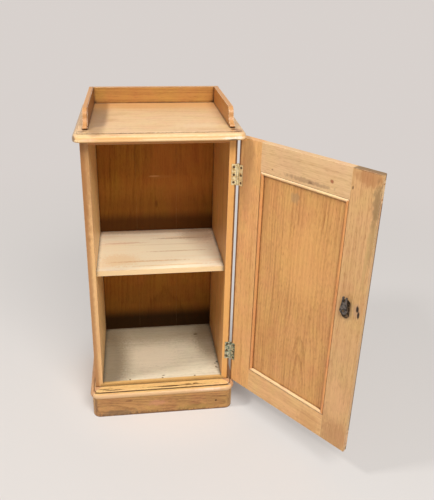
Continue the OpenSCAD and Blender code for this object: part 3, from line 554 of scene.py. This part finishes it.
gallery_look = dict(gap=0.006, heart=(0.0, 0.05, 0.03), rub_and_highlight=0.0018, rub_and_highlight_tint=(255, 230, 196),
                    rub_and_highlight_amount=0.85, grime_and_shade_strength=0.9, grime_and_shade_reach=0.010, edge_tint=(198, 144, 92), edge_amount=0.75)
gallery_back_wood = waxed_wood("gallery_back_wood", "zyx", (186, 132, 68), (140, 90, 40), 44.0,
                               **gallery_look)
left_inner_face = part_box("gallery_left")[1].x
inner_shade = ((left_inner_face, 0.12, top_face + 0.02), (0.003, 1.0, 1.0), 0.0, (108, 60, 28), 0.65)
gallery_side_wood = waxed_wood("gallery_side_wood", "zxy", (180, 120, 60), (130, 78, 34), 45.0,
                               marks=[inner_shade], **gallery_look)
finish_nodes(gallery_back_wood, "gallery_back")
finish_nodes(gallery_side_wood, "gallery_left", "gallery_right")

# ---------------------------------------------------------------- door frame
# Two stiles with the rails' wedged tenons through them, waxed, with fine flecks.
# The inside has a dark stain at the top of the lock stile and small burns.

door_face = door_axis.y     # the hinge's axis lies within a millimetre of the shut door's inner face
door_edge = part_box("side_left")[0].x
door_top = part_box("door_stile_lock")[1].z
catch_x, catch_z = -0.135, 0.444
mark_deep = 0.010
# The lock stile's outer arris darkened as painted shade, and its top end, the stain at its top and down its
# edge, a darker and a paler patch low down, a burn, and the worn wood and dark dents round the catch.
lock_marks = [
    ((door_edge, door_face - 0.0140, half_way_up), (0.006, 0.0052, all_along), 0.3, (92, 56, 34), 0.9),
    ((-0.145, door_face - 0.010, door_top), (0.050, 0.030, 0.0024), 0.3, (104, 80, 50), 0.85)]
lock_marks += on_front(door_face, mark_deep, rows=[
    (-0.150, door_top - 0.012, 0.040, 0.022, 1.0, (162, 104, 62), 0.55),
    (-0.1700, 0.690, 0.012, 0.050, 1.4, (116, 94, 64), 0.60),
    (-0.1700, 0.630, 0.008, 0.080, 1.4, (150, 122, 80), 0.50),
    (-0.1640, 0.560, 0.005, 0.080, 1.0, (184, 150, 96), 0.50),
    (-0.1480, 0.105, 0.045, 0.060, 1.6, (170, 116, 72), 0.45),
    (-0.1380, 0.200, 0.030, 0.070, 1.6, (228, 176, 124), 0.40),
    (-0.1162, 0.709, 0.0022, 0.0050, 0.6, (84, 60, 34), 0.8),
    (-0.1600, 0.4480, 0.0110, 0.0220, 0.9, (176, 136, 108), 0.55),
    (catch_x, catch_z, 0.0210, 0.0340, 0.9, (160, 128, 92), 0.60),
    (-0.1609, 0.4540, 0.0038, 0.0098, 0.7, (44, 30, 16), 1.0),
    (-0.1646, 0.4410, 0.0038, 0.0110, 0.7, (44, 30, 16), 1.0)])
# On the rails burns, scuffs and a darker patch, and on the hinge stile its arris darkened as painted shade
# beside the carcase, and a darker patch.
rail_marks = on_front(door_face, mark_deep, rows=[
    (-0.0692, 0.7084, 0.0050, 0.0050, 0.8, (150, 84, 54), 0.85),
    (-0.0100, 0.6930, 0.0700, 0.0060, 1.8, (150, 118, 86), 0.60),
    (-0.0192, 0.6919, 0.0060, 0.0040, 1.0, (112, 84, 60), 0.60),
    (0.0805, 0.6953, 0.0030, 0.0025, 0.8, (120, 84, 56), 0.70)])
rail_low_marks = on_front(door_face, mark_deep, rows=[
    (-0.075, 0.100, 0.040, 0.040, 1.4, (190, 134, 82), 0.45)])
hinge_marks = [((carcase_edge, door_face, half_way_up), (0.0056, 0.007, all_along), 0.5, (98, 56, 24), 0.9)]
hinge_marks += on_front(door_face, mark_deep, rows=[
    (0.150, 0.660, 0.030, 0.120, 1.0, (176, 128, 84), 0.4)])
frame_look = dict(gap=0.0045, heart=(0.0, 0.06, 0.02), contrast=0.34, pore=0.55, grime_and_shade_reach=0.005,
                  in_door=True)
stile_hinge_wood = waxed_wood("stile_hinge_wood", "xyz", (226, 170, 108), (176, 118, 66), 51.0,
                              marks=hinge_marks, **frame_look)
stile_lock_wood = waxed_wood("stile_lock_wood", "xyz", (212, 166, 112), (164, 116, 70), 52.0,
                             marks=lock_marks, **frame_look)
rail_wood = waxed_wood("rail_wood", "zyx", (218, 178, 131), (184, 140, 94), 53.0,
                       marks=rail_marks, **frame_look)
rail_low_wood = waxed_wood("rail_low_wood", "zyx", (228, 180, 122), (180, 126, 76), 54.0,
                           marks=rail_low_marks, **frame_look)
finish_nodes(stile_hinge_wood, "door_stile_hinge")
finish_nodes(stile_lock_wood, "door_stile_lock")
finish_nodes(rail_wood, "door_rail_top")
finish_nodes(rail_low_wood, "door_rail_bottom")
wedge_wood = waxed_wood("wedge_wood", "zyx", (190, 132, 78), (130, 80, 42), 55.0, in_door=True)
finish_nodes(wedge_wood, "door_wedges")

# ---------------------------------------------------------------- door panel
# One wide plain-sawn board held loose in the frame's grooves, more orange than
# the frame. Its rings show as pointed arches low down and run straight above.

panel_in = 0.005        # from the frame's inner face to the panel's
panel_marks = on_front(door_face - panel_in, deep=0.006, rows=[
    (0.0186, 0.6456, 0.014, 0.016, 1.6, (156, 126, 92), 0.5),
    (0.095, 0.600, 0.012, 0.110, 1.0, (176, 126, 74), 0.5),
    (-0.020, 0.500, 0.090, 0.120, 1.2, (232, 172, 104), 0.35)])
panel_wood = waxed_wood(
    "panel_wood", "xyz", (213, 157, 95), (148, 93, 45), 61.0, gap=0.0068, heart=(-0.028, -0.0103, 0.13),
    straight_above=0.36, wander=0.022, contrast=0.46, pore=0.5, grime_and_shade_strength=0.9, grime_and_shade_reach=0.011,
    grime_and_shade_tint=(96, 50, 20), in_door=True, marks=panel_marks)
finish_nodes(panel_wood, "door_panel")

# ---------------------------------------------------------------- door beads
# Thin mitred strips tacked round the panel: a round nose inside, a hollow moulding outside. Old wax and
# painted shade darken the corners behind them.

bead_look = dict(gap=0.003, rub_and_highlight=0.0018, rub_and_highlight_tint=(255, 226, 182), rub_and_highlight_amount=0.8, grime_and_shade_strength=1.0,
                 grime_and_shade_reach=0.005, grime_and_shade_tint=(70, 34, 12), in_door=True)
mitre_gap = on_front(door_face - 0.003, deep=0.006, rows=[
    (-0.1085, 0.6860, 0.0030, 0.0034, 0.6, (70, 44, 24), 0.9)])
bead_wood_across = waxed_wood("bead_wood_across", "zyx", (244, 204, 152), (200, 150, 98), 66.0,
                              marks=mitre_gap, **bead_look)
bead_wood_up = waxed_wood("bead_wood_up", "xyz", (218, 152, 92), (166, 102, 54), 67.0, **bead_look)
for face in ("inner", "outer"):
    finish_nodes(bead_wood_across, f"{face}_bead_bottom", f"{face}_bead_top")
    finish_nodes(bead_wood_up, f"{face}_bead_left", f"{face}_bead_right")

# ---------------------------------------------------------------- hinges
# Two cast brass butt hinges with five knuckles and three screws a leaf. The
# upper one is worn bright, the lower one has gone green with verdigris.


def old_brass(name, bright, dull, green, green_at):
    """Brass with tarnish and painted shade in its low places. Above green_at the noise turns to a crust of
    verdigris.
    """
    material, bench, surface = new_material(name)
    place = bench.put("TexCoord")["Object"]
    tarnish = bench.step(bench.noise(place, (140.0, 140.0, 140.0), 4.0), 0.42, 0.68)
    crust = bench.step(bench.noise(place, (210.0, 210.0, 210.0), 4.0, 0.62), green_at, green_at + 0.08)
    pits = bench.noise(place, (1100.0, 1100.0, 1100.0), 3.0)
    settled_and_shaded = bench.use(shade_and_grime, Place=place, Reach=0.0045)["Mask"]
    colour = bench.mix(crust, bench.mix(tarnish, shade(*bright), shade(*dull)), shade(*green))
    colour = bench.mix(bench.times(settled_and_shaded, 0.95), colour, shade(34, 26, 16))
    bench.feed(surface.inputs["Base Color"], colour)
    bench.feed(surface.inputs["Metallic"], bench.times(bench.maths("SUBTRACT", 1.0, crust), 0.75))
    dullness = bench.add(0.30, bench.times(tarnish, 0.2), bench.times(crust, 0.35))
    bench.feed(surface.inputs["Roughness"], dullness)
    relief = bench.add(bench.times(crust, 1.2), bench.times(pits, 0.4))
    give_relief(bench, surface, relief, 0.6, depth=0.0004, arris=0.0005)
    return material


def slotted_screw(shape, place, slot_turn, head_r, head_h, shank_r, length, slot_w, slot_h):
    """Adds a countersunk wood screw to a mesh, its head's face in place's XY plane and its point down Z."""
    steps = 14      # along each half of the rim
    taper = 3 * shank_r
    turn = place @ Matrix.Rotation(slot_turn, 4, "Z")

    def ring(radius, z):
        """Points round a circle that leave out the slot along X, upper half and then lower half."""
        start = math.asin(slot_w / 2 / radius)
        points = []
        for side in (0.0, math.pi):
            for i in range(steps + 1):
                angle = side + start + (math.pi - 2 * start) * i / steps
                at = Vector((radius * math.cos(angle), radius * math.sin(angle), z))
                points.append(shape.verts.new(turn @ at))
        return points

    slope = (head_r - shank_r) / head_h
    top = ring(head_r, 0.0)
    low = ring(head_r - slope * slot_h, -slot_h)
    neck = ring(shank_r, -head_h)
    tip = ring(shank_r, taper - length)
    point = shape.verts.new(turn @ Vector((0.0, 0.0, -length)))
    half = steps + 1
    for start in (0, half):
        for i in range(start, start + steps):
            shape.faces.new((low[i], low[i + 1], top[i + 1], top[i]))
        shape.faces.new(top[start:start + half])
        shape.faces.new((top[start + steps], top[start], low[start], low[start + steps]))
    shape.faces.new((low[0], low[steps], low[half], low[half + steps]))
    for upper, under in ((low, neck), (neck, tip)):
        for i in range(2 * half):
            after = (i + 1) % (2 * half)
            shape.faces.new((under[i], under[after], upper[after], upper[i]))
    for i in range(2 * half):
        shape.faces.new((point, tip[(i + 1) % (2 * half)], tip[i]))


def put_in_scene(name, data):
    """A new object of the scene that shows this mesh, lamp or camera."""
    made = bpy.data.objects.new(name, data)
    bpy.context.scene.collection.objects.link(made)
    return made


def screw_set(name, node, body, material, places, slot_turns, sizes):
    """One object of like screws that stands in for a CAD node of plain ones."""
    shape = bmesh.new()
    for place, slot_turn in zip(places, slot_turns):
        slotted_screw(shape, place, math.radians(slot_turn), **sizes)
    bmesh.ops.recalc_face_normals(shape, faces=shape.faces)
    data = bpy.data.meshes.new(name)
    shape.to_mesh(data)
    shape.free()
    data.materials.append(material)
    made = put_in_scene(name, data)
    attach(made, body)
    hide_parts(node)


def facing(at, outward, turned=0.0):
    """Where a screw with its head facing outward stands, after a turn of the door about the hinge."""
    stand = Matrix.Translation(at) @ Vector(outward).to_track_quat("Z", "Y").to_matrix().to_4x4()
    swing = Matrix.Translation(door_axis) @ Matrix.Rotation(turned, 4, "Z") @ Matrix.Translation(-door_axis)
    return swing @ stand


bright_brass = old_brass("bright_brass", (255, 236, 186), (200, 160, 96), (120, 140, 96), 0.80)
green_brass = old_brass("green_brass", (214, 208, 176), (58, 50, 34), (84, 112, 92), 0.50)
screw_iron = old_iron("screw_iron", (70, 54, 36), (104, 76, 44), metal=0.5, rough=0.5)
head_r = 0.0030
screw_sizes = dict(head_r=head_r, head_h=0.0014, shank_r=0.0015, length=0.013, slot_w=0.0010, slot_h=0.0008)
for level, brass, turns in (("upper", bright_brass, (10, 55, 20, 80, 5, 70)),
                            ("lower", green_brass, (35, 0, 65, 15, 85, 40))):
    finish_nodes(brass, *(f"hinge_{level}_{part}" for part in ("leaf_carcase", "leaf_door", "pin")))
    low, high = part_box(f"hinge_{level}_screws_carcase")
    heights = (low.z + head_r, (low.z + high.z) / 2, high.z - head_r)
    screw_x = (low.x + high.x) / 2
    door_head_y = 2 * door_axis.y - low.y       # the shut door's leaf mirrors the carcase's
    carcase_places = [facing((screw_x, low.y, z), (0, -1, 0)) for z in heights]
    door_places = [facing((screw_x, door_head_y, z), (0, 1, 0), door_open) for z in heights]
    screw_set(f"{level}_hinge_carcase_screws", f"hinge_{level}_screws_carcase", "cupboard", screw_iron,
              carcase_places, turns[:3], screw_sizes)
    screw_set(f"{level}_hinge_door_screws", f"hinge_{level}_screws_door", "door", screw_iron,
              door_places, turns[3:], screw_sizes)

# ---------------------------------------------------------------- catch
# A black iron turn catch: a plate screwed to the stile, and a tongue that turns
# with the knob's spindle. Outside there are a brass rose and a turned knob.

catch_iron = old_iron("catch_iron", (52, 43, 34), (116, 90, 60), 0.55)
finish_nodes(catch_iron, "catch_plate", "catch_screws", "catch_spindle", "catch_collar")
tongue_iron = old_iron("tongue_iron", (118, 110, 104), (34, 26, 20), 0.46, metal=0.8, rough=0.40)
finish_nodes(tongue_iron, "catch_tongue")
knob_brass = old_brass("knob_brass", (216, 180, 110), (160, 120, 62), (110, 130, 90), 0.84)
finish_nodes(knob_brass, "catch_rose", "catch_rose_pins", "catch_knob")

# ---------------------------------------------------------------- floor and light
# A plain pale floor that fades into a pale surround, a small lamp high on the
# left, and a wide one in front that reaches into the cupboard.

backdrop = shade(215, 208, 204)
floor_mesh = bmesh.new()
bmesh.ops.create_grid(floor_mesh, x_segments=1, y_segments=1, size=30.0)
floor_data = bpy.data.meshes.new("floor")
floor_mesh.to_mesh(floor_data)
floor_mesh.free()
ground = put_in_scene("floor", floor_data)


def seen_straight(bench):
    """1 for what the camera, a mirror or glass looks at, 0 for light on its way to a surface."""
    path = bench.put("LightPath")
    seen = bench.maths("MAXIMUM", path["Is Camera Ray"], path["Is Glossy Ray"])
    return bench.maths("MAXIMUM", seen, path["Is Transmission Ray"])


# Close to the plinth the floor keeps its true light and shadow. Further off the camera sees it half in one
# even colour, and far off as the surround.
plinth_middle = (0.0, 0.12, 0.0)
floor_paint, bench, lit = new_material("floor_paint")
lit.inputs["Base Color"].default_value = shade(216, 211, 206)
lit.inputs["Roughness"].default_value = 0.9
even = bench.put("Emission", {"Color": shade(220, 214, 209), "Strength": 1.0})["Emission"]
away = bench.put("Emission", {"Color": backdrop, "Strength": 1.0})["Emission"]
floor_place = bench.put("TexCoord")["Object"]
far_off = bench.step(bench.vector("LENGTH", floor_place), 0.7, 2.2)
from_plinth = bench.vector("LENGTH", bench.vector("SUBTRACT", floor_place, plinth_middle))
clear_of_plinth = bench.step(from_plinth, 0.16, 0.34)
steady = bench.put("MixShader", {0: far_off, 1: even, 2: away})["Shader"]
steadiness = bench.add(bench.times(clear_of_plinth, 0.50), bench.times(far_off, 0.50))
share = bench.times(seen_straight(bench), steadiness)
floor_shown = bench.put("MixShader", {0: share, 1: lit.outputs["BSDF"], 2: steady})["Shader"]
bench.feed(floor_paint.node_tree.nodes["Material Output"].inputs["Surface"], floor_shown)
floor_data.materials.append(floor_paint)

world = bpy.data.worlds.new("surround")
bpy.context.scene.world = world
world.use_nodes = True
bench = Bench(world.node_tree)
sky = world.node_tree.nodes["Background"]
sky.inputs["Color"].default_value = shade(252, 252, 255)
sky.inputs["Strength"].default_value = 0.345
plain = bench.put("Background", {"Color": backdrop, "Strength": 1.0})["Background"]
seen = seen_straight(bench)
sky_shown = bench.put("MixShader", {0: seen, 1: sky.outputs["Background"], 2: plain})["Shader"]
bench.feed(world.node_tree.nodes["World Output"].inputs["Surface"], sky_shown)

for name, stands, aimed, wide, tall, power in (
        ("left_lamp", (-2.3, -0.4, 3.2), (0.0, 0.0, 0.5), 0.45, 0.45, 60.0),
        ("front_lamp", (0.5, -1.9, 2.6), (0.0, 0.0, 0.4), 1.6, 1.2, 74.0)):
    lamp_data = bpy.data.lights.new(name, "AREA")
    lamp_data.shape = "RECTANGLE"
    lamp_data.size = wide
    lamp_data.size_y = tall
    lamp_data.energy = power
    lamp = put_in_scene(name, lamp_data)
    lamp.location = stands
    lamp.rotation_mode = "QUATERNION"
    lamp.rotation_quaternion = (Vector(aimed) - lamp.location).to_track_quat("-Z", "Y")

# ---------------------------------------------------------------- camera
# Held above the top and a little left of the middle, turned slightly right and
# looking down, as the photograph was taken. The picture is 434 by 500.

picture_w, picture_h = 434, 500
focal_px = 564.0
centre_px = Vector((203.0, 202.6))
camera_at = Vector((-0.0573, -1.2051, 1.0918))
turned, down, roll = math.radians(7.37), math.radians(22.41), math.radians(1.07)
ahead = Vector((math.sin(turned) * math.cos(down), math.cos(turned) * math.cos(down), -math.sin(down)))
level = Vector((math.cos(turned), -math.sin(turned), 0.0))
above = level.cross(ahead)
across = math.cos(roll) * level + math.sin(roll) * above
upward = math.cos(roll) * above - math.sin(roll) * level
camera_data = bpy.data.cameras.new("camera")
camera_data.sensor_width = 36.0
camera_data.lens = focal_px / picture_h * camera_data.sensor_width
camera_data.shift_x = (picture_w / 2 - centre_px.x) / picture_h
camera_data.shift_y = (centre_px.y - picture_h / 2) / picture_h
camera = put_in_scene("camera", camera_data)
camera.matrix_world = Matrix.Translation(camera_at) @ Matrix((across, upward, -ahead)).transposed().to_4x4()
bpy.context.scene.camera = camera
bpy.context.scene.view_settings.view_transform = "Standard"
